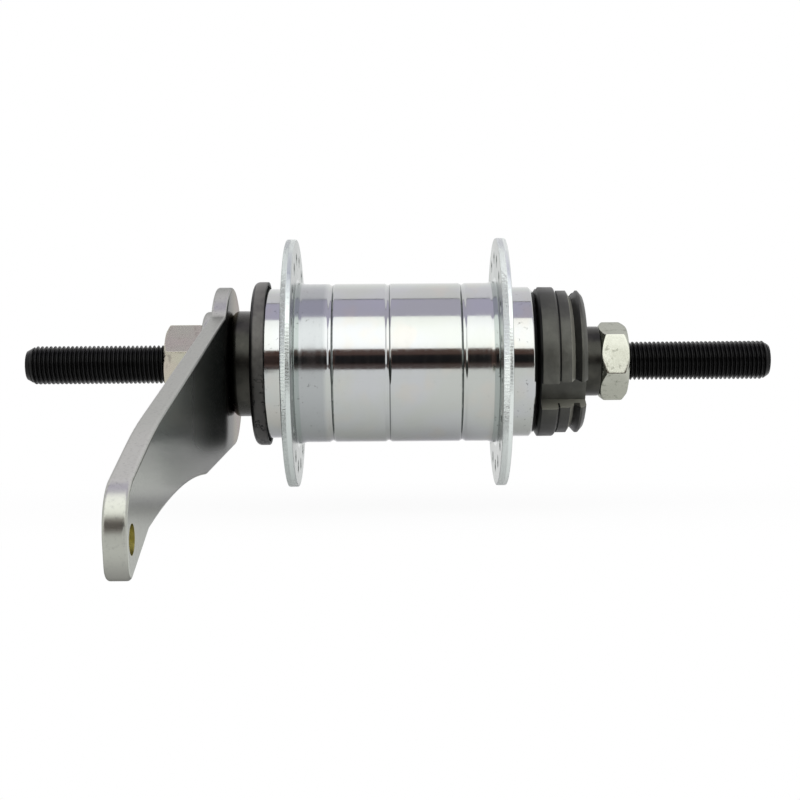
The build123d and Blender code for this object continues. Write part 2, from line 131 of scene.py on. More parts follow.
def axle_surface():
    """Height field r(y, a): the thread's crest less its depth, faded out inside the nuts and cut by the
    cone of each end's chamfer."""
    low, high = (corner.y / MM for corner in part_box("axle"))
    step = THREAD_PITCH / ROWS_PER_THREAD
    left = np.arange(low, LEFT_FACE + THREAD_INSIDE_NUT, step)
    right = np.arange(RIGHT_FACE - THREAD_INSIDE_NUT, high, step)
    station = np.concatenate([[low], left, right, [high, high]])[:, None]
    angle = angles(AROUND_AXLE)
    shown = np.clip((np.abs(station) - (RIGHT_FACE - THREAD_INSIDE_NUT)) / THREAD_INSIDE_NUT, 0, 1)
    threaded = CREST - THREAD_DEPTH * (1 - thread_height(station, angle))
    radius = shown * threaded + (1 - shown) * ENGAGED_RADIUS
    left_chamfer = LEFT_END + (station - low) * LEFT_END_SLOPE
    right_chamfer = RIGHT_END + (high - station) * RIGHT_END_SLOPE
    radius = np.minimum(radius, np.minimum(left_chamfer, right_chamfer))
    radius[0] = radius[-1] = 0
    return turned(radius, station, angle)


rod = axle_surface()
rod_faces = grid_faces(*rod.shape[:2])
axle = piece("axle_threaded_rod", rod, rod_faces, "black_steel", "fixed_axle", "axle", sharp=50)


class Value:
    """What varies over a surface. Arithmetic on a number adds Math nodes to its tree."""

    def __init__(self, nodes, socket):
        self.nodes = nodes
        self.socket = socket

    def __add__(self, other):
        return self.nodes.math("ADD", self, other)

    def __sub__(self, other):
        return self.nodes.math("SUBTRACT", self, other)

    def __rsub__(self, other):
        return self.nodes.math("SUBTRACT", other, self)

    def __mul__(self, other):
        return self.nodes.math("MULTIPLY", self, other)

    def __abs__(self):
        return self.nodes.math("ABSOLUTE", self)

    __radd__ = __add__
    __rmul__ = __mul__


class Nodes:
    """The nodes of a finish or of the world. Each one that this file makes comes from add."""

    def __init__(self, owner):
        owner.use_nodes = True
        self.nodes = owner.node_tree.nodes
        self.links = owner.node_tree.links

    def find(self, kind):
        """The node of this type that Blender made with the tree."""
        return next(node for node in self.nodes if node.type == kind)

    def fill(self, socket, value):
        """Link a socket to a value that varies, or set it to one that does not."""
        if isinstance(value, Value):
            self.links.new(value.socket, socket)
        else:
            socket.default_value = value

    def add(self, kind, settings, sockets, output=0):
        """A node of this kind with its settings made first, then its sockets filled."""
        node = self.nodes.new(kind)
        for name, setting in settings.items():
            setattr(node, name, setting)
        for name, value in sockets.items():
            self.fill(node.inputs[name], value)
        return Value(self, node.outputs[output])

    def math(self, operation, first, second=0.0):
        """A Math node, for what has no operator."""
        return self.add("ShaderNodeMath", {"operation": operation}, {0: first, 1: second})


class Finish(Nodes):
    """One material, its shader and the object coordinates that its patterns follow."""

    def __init__(self, name, metallic=1.0):
        self.material = bpy.data.materials.new(name)
        super().__init__(self.material)
        self.shader = self.find("BSDF_PRINCIPLED")
        self.place = self.add("ShaderNodeTexCoord", {}, {}, "Object")
        self.feed(Metallic=metallic)

    def feed(self, **sockets):
        """Fill the shader's sockets, with _ for a space in their names."""
        for name, value in sockets.items():
            self.fill(self.shader.inputs[name.replace("_", " ")], value)

    def axis(self, name):
        """Object coordinate along X, Y or Z, in metres."""
        return self.add("ShaderNodeSeparateXYZ", {}, {0: self.place}, name)

    def noise(self, per_metre, detail=2.0, rough=0.5):
        """Noise from 0 to 1, with so many features per metre each way, or a number for each axis."""
        stretch = np.broadcast_to(per_metre, 3).tolist()
        place = self.add("ShaderNodeVectorMath", {"operation": "MULTIPLY"}, {0: self.place, 1: stretch})
        sockets = {"Vector": place, "Scale": 1.0, "Detail": detail, "Roughness": rough}
        return self.add("ShaderNodeTexNoise", {}, sockets)

    def step(self, value, low, high, bottom=0.0, top=1.0):
        """Smooth step of a value, from bottom at low to top at high."""
        return self.add(
            "ShaderNodeMapRange",
            {"interpolation_type": "SMOOTHSTEP"},
            {"Value": value, "From Min": low, "From Max": high, "To Min": bottom, "To Max": top},
        )

    def blend(self, share, first, second):
        """Colour between two colours."""
        first, second = (c if isinstance(c, Value) else (*c, 1.0) for c in (first, second))
        return self.add("ShaderNodeMix", {"data_type": "RGBA"}, {0: share, 6: first, 7: second}, 2)

    def bump(self, height, distance, strength=1.0, normal=None):
        """Normal from a height of 0 to 1 that stands for distance metres."""
        sockets = {"Strength": strength, "Distance": distance, "Height": height}
        if normal is not None:
            sockets["Normal"] = normal
        return self.add("ShaderNodeBump", {}, sockets)

    def length(self, scale, offset):
        """Length of the object coordinates times scale plus offset, axis by axis, in metres."""
        sockets = {0: self.place, 1: scale, 2: offset}
        moved = self.add("ShaderNodeVectorMath", {"operation": "MULTIPLY_ADD"}, sockets)
        return self.add("ShaderNodeVectorMath", {"operation": "LENGTH"}, {0: moved}, "Value")

    def radius(self, x=0.0, z=0.0):
        """Distance from the axle's line, or from one beside it through x and z, in metres."""
        return self.length((1, 0, 1), (-x, 0, -z))


def dress(finish, *targets):
    """Give a finish to new pieces, and to CAD nodes by name."""
    for target in targets:
        mesh = (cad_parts[target] if isinstance(target, str) else target).data
        mesh.materials.clear()
        mesh.materials.append(finish.material)


black_oxide = Finish("black_oxide", metallic=0.6)
rubbed = black_oxide.step(black_oxide.radius(), RUBBED_FROM * MM, CREST * MM)
patches = black_oxide.noise((300, 200, 300), detail=3)
black_oxide.feed(
    Base_Color=black_oxide.blend(rubbed * patches, (0.005, 0.005, 0.005), (0.018, 0.018, 0.019)),
    Roughness=black_oxide.step(patches, 0.3, 0.7, 0.28, 0.42),
    Specular_IOR_Level=0.25,
)
dress(black_oxide, axle)


# Locknuts
# Two forged hexagon nuts, 17 mm across the flats, that lock the cones on the axle. Their corners are
# chamfered at both faces and their threads countersunk. Zinc plated, greyish on the left and pale yellow
# on the right.

NUT_FLATS = 17.0
NUT_CORNER_ROUND = 0.03
CORNER_BLEND, CHAMFER_BLEND = 0.06, 0.12
NUT_FACE, NUT_CONE_RISE = 8.45, 1.35
NUT_INNER_FACE = 8.0
NUT_COUNTERSINK = 0.8
NUT_CLEARANCE = 0.05
AROUND_NUT = 720
NUT_ROWS = 26


def soft_min(first, second, blend):
    """The lesser of two lengths, rounded where they cross: their mean less half the root of their
    difference squared plus blend squared."""
    return (first + second - np.sqrt((first - second) ** 2 + blend**2)) / 2


def hexagon(angle, corner_angle):
    """Radius of a hexagon with rounded corners: half its width over the flats, over the cosine of the
    angle from the nearest flat's middle. One corner points at corner_angle, in degrees."""
    from_flat = (angle - radians(corner_angle)) % (pi / 3) - pi / 6
    corner = NUT_FLATS / 2 / cos(pi / 6) - NUT_CORNER_ROUND
    return soft_min(NUT_FLATS / 2 / np.cos(from_flat), corner, CORNER_BLEND)


def nut_surface(node, corner_angle, chamfer_depth):
    """Ring of rows: six flats cut by a cone at each face, then one face, the countersunk bore and the
    other face. The rows on the flats lie closer near the faces, by a cosine."""
    low, high = (corner.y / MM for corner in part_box(node))
    angle = angles(AROUND_NUT)
    share = (1 - np.cos(np.linspace(0, pi, NUT_ROWS)))[:, None] / 2
    station = low + share * (high - low)
    from_face = np.minimum(station - low, high - station)
    cone = NUT_FACE + from_face * NUT_CONE_RISE / chamfer_depth
    sides = soft_min(hexagon(angle, corner_angle), cone, CHAMFER_BLEND)
    bore = ENGAGED_RADIUS + NUT_CLEARANCE
    mouth = bore + NUT_COUNTERSINK
    top = [(NUT_INNER_FACE, high), (mouth, high), (bore, high - NUT_COUNTERSINK)]
    bottom = [(bore, low + NUT_COUNTERSINK), (mouth, low), (NUT_INNER_FACE, low)]
    inside, at = np.array(top + bottom).T[:, :, None]
    return np.concatenate([turned(sides, station, angle), turned(inside, at, angle)])


def plated(name, colour, tint, stain, shine):
    """Zinc plate over a forged skin: two broad tints, darker stains, shallow dents and a fine grain."""
    zinc = Finish(name)
    broad = zinc.step(zinc.noise(90, detail=3), 0.35, 0.65)
    stained = zinc.step(zinc.noise(620, detail=4, rough=0.6), 0.55, 0.70)
    grain = zinc.noise(2600, detail=2)
    base = zinc.blend(stained * 0.7, zinc.blend(broad, colour, tint), stain)
    rough = zinc.step(grain, 0.3, 0.7, shine - 0.02, shine + 0.03) + stained * 0.12
    dents = zinc.bump(zinc.noise(420, detail=2), 0.00005, 0.5)
    zinc.feed(
        Base_Color=base,
        Roughness=rough,
        Normal=zinc.bump(grain, 0.000002, 0.3, normal=dents),
        Specular_Tint=(0.6, 0.6, 0.6, 1.0),
    )
    return zinc


greyish = plated("greyish_zinc", (0.53, 0.48, 0.41), (0.51, 0.51, 0.41), (0.34, 0.31, 0.27), 0.27)
pale = plated("pale_zinc", (0.44, 0.45, 0.385), (0.52, 0.53, 0.465), (0.27, 0.28, 0.23), 0.17)
nuts = (
    ("left_locknut", "arm_zinc", 16.0, 0.8, greyish),
    ("right_locknut", "pale_zinc", -20.0, 1.1, pale),
)
for node, slot, corner_angle, chamfer_depth, zinc in nuts:
    ring = nut_surface(node, corner_angle, chamfer_depth)
    faces = grid_faces(*ring.shape[:2], loop=True)
    nut = piece(f"{node}_hexagon", ring, faces, slot, "fixed_axle", node, sharp=40)
    dress(zinc, nut)


# Brake arm and washer
# The arm is stamped from 3.8 mm steel plate, its edges rolled, and carries the brake's reaction to the
# frame. It and the thick washer beside it are zinc plated to a soft grey sheen with a faint bloom.

ARM_LEFT_FACE, ARM_RIGHT_FACE = -43.7, -39.9
CLIP_HOLE = (139.35, -29.82)
CLIP_HOLE_RADIUS = 2.4

arm_zinc = Finish("satin_zinc")
along, across, upward = (arm_zinc.axis(name) for name in "XYZ")
arm_middle = (ARM_LEFT_FACE + ARM_RIGHT_FACE) / 2 * MM
arm_half = (ARM_RIGHT_FACE - ARM_LEFT_FACE) / 2 * MM
from_middle = abs(across - arm_middle)
on_face = arm_zinc.step(from_middle, arm_half - 0.06 * MM, arm_half - 0.01 * MM)
on_face = on_face * arm_zinc.step(from_middle, arm_half + 0.3 * MM, arm_half + 0.1 * MM)
inner_side = arm_zinc.step(across, arm_middle - 0.1 * MM, arm_middle + 0.1 * MM)
speckle = arm_zinc.noise(1700, detail=3, rough=0.7)

# Painted shade and reflection: the inner face runs from dark at the hub to light at the tip.
towards_tip = arm_zinc.step(along, 25 * MM, 140 * MM)
cloud = arm_zinc.step(arm_zinc.noise(50, detail=2), 0.35, 0.68)
# Painted shade above the face's lower edge, with a painted shadow patch there that is also rougher.
above_edge = arm_zinc.step(upward, -24 * MM, -16 * MM)
shadow_patch = arm_zinc.step(along, 112 * MM, 34 * MM) * arm_zinc.step(along, 8 * MM, 23 * MM)
shadow_patch = shadow_patch * above_edge * on_face * inner_side
face_grey = arm_zinc.blend(towards_tip, (0.012, 0.013, 0.012), (0.78, 0.81, 0.74))
face_grey = arm_zinc.blend(cloud * 0.15, face_grey, (0.44, 0.45, 0.42))
face_grey = arm_zinc.blend(above_edge * 0.5, face_grey, (0.10, 0.11, 0.10))
face_grey = arm_zinc.blend(shadow_patch, face_grey, (0.010, 0.012, 0.011))
face_grey = arm_zinc.blend(inner_side, (0.50, 0.51, 0.48), face_grey)

# The edge is darker in two steps down the arm's slope, and near the head.
lower, lowest = arm_zinc.step(upward, -20 * MM, -25 * MM), arm_zinc.step(upward, -31 * MM, -36 * MM)
edge_grey = arm_zinc.blend(lower, (0.600, 0.602, 0.575), (0.430, 0.440, 0.395))
# Painted shade: the lower step darkens the edge where it nears the floor.
edge_grey = arm_zinc.blend(lowest, edge_grey, (0.25, 0.25, 0.23))
edge_grey = arm_zinc.blend(arm_zinc.step(along, 26 * MM, 8 * MM), edge_grey, (0.490, 0.495, 0.475))
grey = arm_zinc.blend(on_face, edge_grey, face_grey)

# The head's faces have a pink and yellow bloom, browner below, and sandy specks thicken towards it.
head = arm_zinc.step(along, 14 * MM, -4 * MM)
lower_head = arm_zinc.step(upward, 2 * MM, -12 * MM) * arm_zinc.step(along, -1 * MM, 10 * MM)
hue = arm_zinc.step(arm_zinc.noise(60, detail=1), 0.42, 0.58)
bloom = arm_zinc.blend(hue, (0.62, 0.45, 0.43), (0.58, 0.50, 0.36))
bloom = arm_zinc.blend(lower_head, bloom, (0.30, 0.27, 0.25))
grey = arm_zinc.blend(head * on_face * 0.85, grey, bloom)
sandy = arm_zinc.step(speckle, 0.50, 0.75, 0.0, 0.4) * (arm_zinc.step(along, 90 * MM, 15 * MM) * 0.7 + 1)
grey = arm_zinc.blend(sandy, grey, (0.24, 0.245, 0.235))

from_hole = arm_zinc.radius(CLIP_HOLE[0] * MM, CLIP_HOLE[1] * MM)
in_hole = arm_zinc.step(from_hole, (CLIP_HOLE_RADIUS + 0.08) * MM, (CLIP_HOLE_RADIUS + 0.02) * MM)
arm_zinc.feed(
    Base_Color=arm_zinc.blend(in_hole, grey, (0.60, 0.56, 0.26)),
    Roughness=0.30 - on_face * (1 - in_hole) * (0.10 + towards_tip * 0.06) + shadow_patch * shadow_patch * 0.38,
    Normal=arm_zinc.bump(speckle, 0.000018, 0.4),
    Specular_Tint=(0.5, 0.5, 0.5, 1.0),
)
dress(arm_zinc, "brake_arm", "arm_washer")


# Lever cone and adjusting cone
# Hardened steel cones with ground races, blackened and oiled. The left one has a wide round barrel that
# the arm is keyed to, and the right one is the sleeve between the driver and its locknut.

cone_black = Finish("blackened_cone")
worn = cone_black.noise(240, detail=3)
turning = cone_black.noise((60, 5200, 60), detail=1)
paler = cone_black.step(worn, 0.4, 0.7)
cone_black.feed(
    Base_Color=cone_black.blend(paler, (0.042, 0.042, 0.037), (0.068, 0.067, 0.058)),
    Roughness=cone_black.step(worn, 0.3, 0.7, 0.26, 0.36),
    Normal=cone_black.bump(turning, 0.000004, 0.5),
)
dress(cone_black, "lever_cone", "adjusting_cone")


# Left dust cap
# Drawn from thin sheet steel and blackened, pressed on the lever cone to cover the left bearing.
# Its outer wall is mottled, and its lower half has painted shade and a few scratches.

CAP_RADIUS = 20.0
CAP_WALL = 0.8
CAP_BORE, CAP_SEAT = 12.57, 14.0
CAP_BEND = 1.4
CAP_JOGGLE = 0.3
LIP_ROUND = 0.2
CAP_MOUTH_SHORT = 0.06
LIP_WAVES = ((0.05, 5, 1.0), (0.03, 13, 0.0))
WAVE_START, WAVE_FADE = 1.2, 0.8
AROUND_CAP = 240


def arc(centre_radius, centre_station, size, start, end, count=5):
    """Points of a rounded corner in the section, as radius and station, with its angles in degrees."""
    turn = np.radians(np.linspace(start, end, count))
    return [(centre_radius + size * cos(t), centre_station + size * sin(t)) for t in turn]


def cap_surface():
    """Section carried round the axle: the back with its bore and a joggle, the outer wall, the cut lip
    and the inner wall. The lip's station waves by a few hundredths, as a trimmed edge does."""
    low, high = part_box("left_dust_cap")
    seat, mouth = low.y / MM, high.y / MM - CAP_MOUTH_SHORT
    left = seat - CAP_JOGGLE
    inner = CAP_RADIUS - CAP_WALL
    section = [
        (CAP_BORE, seat),
        (CAP_SEAT, seat),
        (CAP_SEAT + CAP_JOGGLE, left),
        *arc(CAP_RADIUS - CAP_BEND, left + CAP_BEND, CAP_BEND, -90, 0, 7),
        *arc(CAP_RADIUS - LIP_ROUND, mouth - LIP_ROUND, LIP_ROUND, 0, 90, 4),
        *arc(inner + LIP_ROUND, mouth - LIP_ROUND, LIP_ROUND, 90, 180, 4),
        (inner, left + CAP_WALL),
        (CAP_SEAT, left + CAP_WALL),
        (CAP_BORE, seat + CAP_WALL),
    ]
    radius, station = np.array(section).T[:, :, None]
    angle = angles(AROUND_CAP)
    trimmed = np.clip((station - mouth + WAVE_START) / WAVE_FADE, 0, 1)
    wave = sum(height * np.sin(count * angle + start) for height, count, start in LIP_WAVES)
    return turned(radius, station + trimmed * np.minimum(wave, 0), angle)


cap_rows = cap_surface()
cap_faces = grid_faces(*cap_rows.shape[:2], loop=True)
cap = piece("left_dust_cap_pressing", cap_rows, cap_faces, "dark_cap", "fixed_axle", "left_dust_cap")

cap_black = Finish("blackened_sheet", metallic=0.30)
mottled = cap_black.noise(420, detail=4, rough=0.6)
scratch = cap_black.noise((170, 420, 700), detail=4, rough=0.65)
low_half = cap_black.step(cap_black.axis("Z"), 1 * MM, -9 * MM)
scratched = cap_black.step(scratch, 0.55, 0.57) * cap_black.step(scratch, 0.64, 0.62) * low_half
on_wall = cap_black.step(cap_black.radius(), (CAP_RADIUS - 0.25) * MM, (CAP_RADIUS - 0.05) * MM)
skin = cap_black.blend(cap_black.step(mottled, 0.35, 0.7), (0.108, 0.106, 0.098), (0.155, 0.151, 0.140))
# Painted shade: the lower half is darker.
skin = cap_black.blend(low_half * 0.65, skin, (0.040, 0.040, 0.038))
# Painted shade: all but the outer wall, the back and the inside, is near black.
skin = cap_black.blend(on_wall, (0.010, 0.010, 0.010), skin)
cap_black.feed(
    Base_Color=cap_black.blend(scratched, skin, (0.006, 0.006, 0.006)),
    Roughness=cap_black.step(mottled, 0.3, 0.7, 0.36, 0.48),
    Normal=cap_black.bump(1 - scratched, 0.00008, 0.8, normal=cap_black.bump(mottled, 0.00002, 0.5)),
    Specular_IOR_Level=0.3,
)
dress(cap_black, cap)


# Hub shell
# One steel forging, turned all over: a barrel with three shallow grooves between two flanges for 36
# spokes. Bright zinc plate over the turning marks, with knurled rims and deburred spoke holes.

FLANGE_INNER, FLANGE_OUTER = 24.1, 26.5
RIM, RIM_ROUND = 30.3, 0.35
BARREL = 19.4
GROOVES = (-15.6, -2.0, 15.9)
GROOVE_HALF_WIDTH, GROOVE_DEPTH = 0.85, 0.36
GROOVE_SHADE_LINES = (-15.28, -1.62, 15.52)
SPOKES = 18
STEPS_PER_SPOKE = 16
SPOKE_RADIUS = 25.5
SPOKE_HOLE = 1.45
SPOKE_CHAMFER = 0.2
FIRST_SPOKE = -1.0
COLLAR, COLLAR_START, COLLAR_SLOPE, COLLAR_ROOT = 19.75, 22.0, 1.3, 0.3
KNURL_TEETH = 600
WEB_INNER, WEB_OUTER, WEB_ROWS = 21.5, 29.5, 6
RINGS_ROUND_HOLE = (0, 0.12, 0.35, 0.65, 1.0)
AROUND_SHELL = SPOKES * STEPS_PER_SPOKE
BARREL_ROWS, COLLAR_ROWS, GROOVE_ROWS = 24, 9, 17
LEFT_BOSS, RIGHT_BOSS = 18.3, 18.33
BOSS_FILLET, HOLDING_RING = 0.5, 0.1
CUP_CHAMFER = 0.3
END_ROUND, END_CHAMFER, END_FACE_ROUND = 0.3, 1.1, 0.25
LEFT_CUP_SEAT, LEFT_CUP_FLOOR = 17.36, -26.10
DRUM, TAPER_START = 15.0, 8.674
THROAT, TAPER_END = 11.526, 21.2
CAGE_ROOM, CAGE_ROOM_START = 13.55, 24.955
RIGHT_CUP_SEAT, RIGHT_CUP_FLOOR = 16.61, 25.83


def barrel_section():
    """The barrel between the flanges. At each flange's root it rises to a low collar by 3u^2 - 2u^3, and
    each groove is a smooth dip of (1 - u^2)^2."""
    dense = [g + GROOVE_HALF_WIDTH * u for g in GROOVES for u in np.linspace(-1, 1, GROOVE_ROWS)]
    slope = COLLAR_START + COLLAR_SLOPE * np.linspace(0, 1, COLLAR_ROWS)
    plain = np.linspace(-COLLAR_START, COLLAR_START, BARREL_ROWS)
    plain = [p for p in plain if min(abs(p - g) for g in GROOVES) > 1]
    station = np.unique(np.concatenate([dense, plain, slope, -slope]))
    rise = np.clip((np.abs(station) - COLLAR_START) / COLLAR_SLOPE, 0, 1)
    radius = BARREL + (COLLAR - BARREL) * rise**2 * (3 - 2 * rise)
    for middle in GROOVES:
        across = np.clip(np.abs(station - middle) / GROOVE_HALF_WIDTH, 0, 1)
        radius -= GROOVE_DEPTH * (1 - across**2) ** 2
    return [
        (WEB_INNER, -FLANGE_INNER),
        *arc(COLLAR + COLLAR_ROOT, -FLANGE_INNER + COLLAR_ROOT, COLLAR_ROOT, -90, -180),
        *zip(radius, station),
        *arc(COLLAR + COLLAR_ROOT, FLANGE_INNER - COLLAR_ROOT, COLLAR_ROOT, 180, 90),
        (WEB_INNER, FLANGE_INNER),
    ]


def ends_and_drum_section():
    """From the left flange's outer face round the left boss, through the drum, and round the right boss.
    A ring of points past each rounded corner keeps the long face beside it straight in the shading."""
    low, high = (corner.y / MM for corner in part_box("hub_shell"))
    foot = BOSS_FILLET + HOLDING_RING
    return [
        (WEB_INNER, -FLANGE_OUTER),
        (LEFT_BOSS + foot, -FLANGE_OUTER),
        *arc(LEFT_BOSS + BOSS_FILLET, -FLANGE_OUTER - BOSS_FILLET, BOSS_FILLET, 90, 180, 4),
        (LEFT_BOSS, -FLANGE_OUTER - foot),
        (LEFT_BOSS, low + END_ROUND + HOLDING_RING),
        *arc(LEFT_BOSS - END_ROUND, low + END_ROUND, END_ROUND, 0, -90, 4),
        (LEFT_CUP_SEAT + CUP_CHAMFER, low),
        (LEFT_CUP_SEAT, low + CUP_CHAMFER),
        (LEFT_CUP_SEAT, LEFT_CUP_FLOOR),
        (DRUM, LEFT_CUP_FLOOR),
        (DRUM, TAPER_START),
        (THROAT, TAPER_END),
        (THROAT, CAGE_ROOM_START),
        (CAGE_ROOM, CAGE_ROOM_START),
        (CAGE_ROOM, RIGHT_CUP_FLOOR),
        (RIGHT_CUP_SEAT, RIGHT_CUP_FLOOR),
        (RIGHT_CUP_SEAT, high - CUP_CHAMFER),
        (RIGHT_CUP_SEAT + CUP_CHAMFER, high),
        *arc(RIGHT_BOSS - END_CHAMFER, high - END_FACE_ROUND, END_FACE_ROUND, 90, 45, 3),
        *arc(RIGHT_BOSS - END_ROUND, high - END_CHAMFER, END_ROUND, 45, 0, 3),
        (RIGHT_BOSS, high - END_CHAMFER - HOLDING_RING),
        (RIGHT_BOSS, FLANGE_OUTER + foot),
        *arc(RIGHT_BOSS + BOSS_FILLET, FLANGE_OUTER + BOSS_FILLET, BOSS_FILLET, 180, 270, 4),
        (RIGHT_BOSS + foot, FLANGE_OUTER),
        (WEB_INNER, FLANGE_OUTER),
    ]


def rim_section(side):
    """From one face of a flange over its rim to the other face, with both edges rounded."""
    inner, outer = side * FLANGE_INNER, side * FLANGE_OUTER
    first = arc(RIM - RIM_ROUND, inner + side * RIM_ROUND, RIM_ROUND, -90 * side, 0)
    second = arc(RIM - RIM_ROUND, outer - side * RIM_ROUND, RIM_ROUND, 0, 90 * side)
    return [(WEB_OUTER, inner), *first, *second, (WEB_OUTER, outer)]


def web(station, first_spoke, side):
    """One face of a flange in 18 cells. A cell's points run from its hole's chamfered edge out to the
    cell's four sides: circle + t (side - circle), with t from 0 to 1."""
    half = 180 / SPOKES
    across = np.linspace(-half, half, STEPS_PER_SPOKE + 1)
    up = np.linspace(WEB_INNER, WEB_OUTER, WEB_ROWS + 1)
    sides = np.concatenate(
        [
            np.stack([np.full(STEPS_PER_SPOKE, WEB_OUTER), across[:-1]], 1),
            np.stack([up[:0:-1], np.full(WEB_ROWS, half)], 1),
            np.stack([np.full(STEPS_PER_SPOKE, WEB_INNER), across[:0:-1]], 1),
            np.stack([up[:-1], np.full(WEB_ROWS, -half)], 1),
        ]
    )
    radius, turn = sides[:, 0], np.radians(sides[:, 1])
    border = np.stack([radius * np.cos(turn), radius * np.sin(turn)], 1)
    outwards = border - [SPOKE_RADIUS, 0]
    outwards /= np.linalg.norm(outwards, axis=1, keepdims=True)
    hole = [SPOKE_RADIUS, 0] + outwards * (SPOKE_HOLE + SPOKE_CHAMFER)
    share = np.array(RINGS_ROUND_HOLE)[:, None, None]
    wall = [SPOKE_RADIUS, 0] + outwards * SPOKE_HOLE
    flat = np.concatenate([wall[None], hole + share * (border - hole)])
    depth = np.concatenate([[station - side * SPOKE_CHAMFER], np.full(len(share), station)])
    turn = np.radians(first_spoke + np.arange(SPOKES) * 360 / SPOKES)[:, None, None]
    x = flat[None, ..., 0] * np.cos(turn) - flat[None, ..., 1] * np.sin(turn)
    z = flat[None, ..., 0] * np.sin(turn) + flat[None, ..., 1] * np.cos(turn)
    y = np.broadcast_to(depth[None, :, None], x.shape)
    return np.stack([x, y, z], axis=-1) * MM


def shell_surface():
    """All grids of the shell as one list of points and quads, which share their edges and merge there."""
    points, faces, used = [], [], 0
    angle = angles(AROUND_SHELL, FIRST_SPOKE)
    for section in (barrel_section(), ends_and_drum_section(), rim_section(-1), rim_section(1)):
        radius, station = np.array(section).T[:, :, None]
        rows = turned(radius, station, angle)
        points.append(rows.reshape(-1, 3))
        faces.append(grid_faces(*rows.shape[:2], first=used))
        used += rows[..., 0].size
    for side, first_spoke in ((-1, FIRST_SPOKE), (1, FIRST_SPOKE + 180 / SPOKES)):
        inner = web(side * FLANGE_INNER, first_spoke, -side)
        outer = web(side * FLANGE_OUTER, first_spoke, side)
        cells = np.concatenate([outer[:, ::-1], inner], axis=1)
        for cell in cells:
            points.append(cell.reshape(-1, 3))
            faces.append(grid_faces(*cell.shape[:2], first=used))
            used += cell[..., 0].size
    return np.concatenate(points), np.concatenate(faces)


shell = piece("hub_shell_turned", *shell_surface(), "bright_zinc", "shell", "hub_shell", outward=True)

bright = Finish("bright_zinc")
forward, along, upward = (bright.axis(name) for name in "XYZ")
from_axle, off_middle = bright.radius(), abs(along)
on_rim = bright.step(from_axle, RIM * MM - 0.22 * MM, RIM * MM - 0.10 * MM)
on_face = bright.step(from_axle, 20.2 * MM, 21.0 * MM) * (1 - on_rim)
on_boss = bright.step(off_middle, 26.4 * MM, 26.7 * MM)
in_root = bright.step(off_middle, 22.7 * MM, 23.0 * MM) * (1 - on_boss) * (1 - on_face) * (1 - on_rim)
dull_left = bright.step(along, -16.2 * MM, -17.6 * MM) * bright.step(along, -26.6 * MM, -26.4 * MM)
dull_right = bright.step(along, 8 * MM, 22 * MM) * bright.step(along, 26.6 * MM, 26.4 * MM)
dull = (dull_left + dull_right * 0.4) * (1 - on_rim)

# Turning marks run round the axle, with coarser chatter where the plate is dull, and pits all over.
turning = bright.noise((55, 5200, 55), detail=2)
chatter = bright.noise((420, 4600, 420), detail=2, rough=0.6)
streaks = bright.noise((90, 1300, 90), detail=3)
pits = bright.noise(1100, detail=3, rough=0.7)
nicks = bright.step(pits, 0.64, 0.70) * (on_face * 0.8 + on_boss * 0.5 + in_root + dull_left * 0.3 + 0.10)
# Painted shade: a thin dark line beside each groove, on the side where its wall is hidden.
groove_shade = sum(bright.step(abs(along - line * MM), 0.20 * MM, 0.08 * MM) for line in GROOVE_SHADE_LINES)

# The rims' knurl is a sine round the axle, coarse on the left half of each rim.
uneven = bright.noise(900, detail=2)
tooth = bright.math("SINE", bright.math("ARCTAN2", upward, forward) * KNURL_TEETH + uneven * 6)
left_half, right_half = bright.step(along, -25.1 * MM, -25.4 * MM), bright.step(along, 23 * MM, 24 * MM)
coarse_half = (left_half + right_half) * bright.step(along, 25.7 * MM, 25.4 * MM)
teeth = (tooth * 0.5 + 0.5) * (coarse_half * 0.75 + 0.25) * on_rim
valleys = bright.step(tooth, 0.1, -0.6) * coarse_half * on_rim

bluish = bright.step(bright.noise((70, 60, 70), detail=2), 0.40, 0.62)
warm = bright.step(bright.noise((95, 120, 95), detail=2, rough=0.6), 0.50, 0.68)
right_side = bright.step(along, -1 * MM, 1 * MM)
# Painted light: the rim of the right flange is brighter than the left one.
rim_colour = bright.blend(right_side, (0.620, 0.670, 0.650), (0.760, 0.810, 0.790))
plate_colour = bright.blend(bluish, (0.495, 0.515, 0.490), (0.505, 0.520, 0.528))
layers = (
    (warm * 0.6, (0.530, 0.515, 0.475)),
    (dull_left * 0.85, (0.375, 0.395, 0.402)),
    (on_face * 0.9, (0.385, 0.410, 0.395)),
    (in_root * 0.8, (0.300, 0.340, 0.325)),
    (on_rim * 0.9, rim_colour),
    (groove_shade * 0.75, (0.10, 0.11, 0.11)),
    (valleys * 0.35, (0.20, 0.21, 0.205)),
    (nicks, (0.09, 0.095, 0.09)),
)
for share, colour in layers:
    plate_colour = bright.blend(share, plate_colour, colour)
turned_skin = bright.bump(turning * (1 - on_rim), 0.0000015, 0.6)
turned_skin = bright.bump(chatter * (dull * 0.85 + 0.15), 0.0000055, 0.8, normal=turned_skin)
bright.feed(
    Base_Color=plate_colour,
    Roughness=bright.step(streaks, 0.3, 0.7, 0.08, 0.13) + dull * 0.05 + on_face * 0.12 + on_rim * 0.06,
    Normal=bright.bump(teeth, 0.00007, 1.0, normal=turned_skin),
)
dress(bright, shell)


# Driver
# Case-hardened steel, turned, slotted for the sprocket's three lugs, and blackened to a mottled gunmetal.
# Its grooves take the sprocket and its snap ring, and its end is closed by a pressed dust cap.

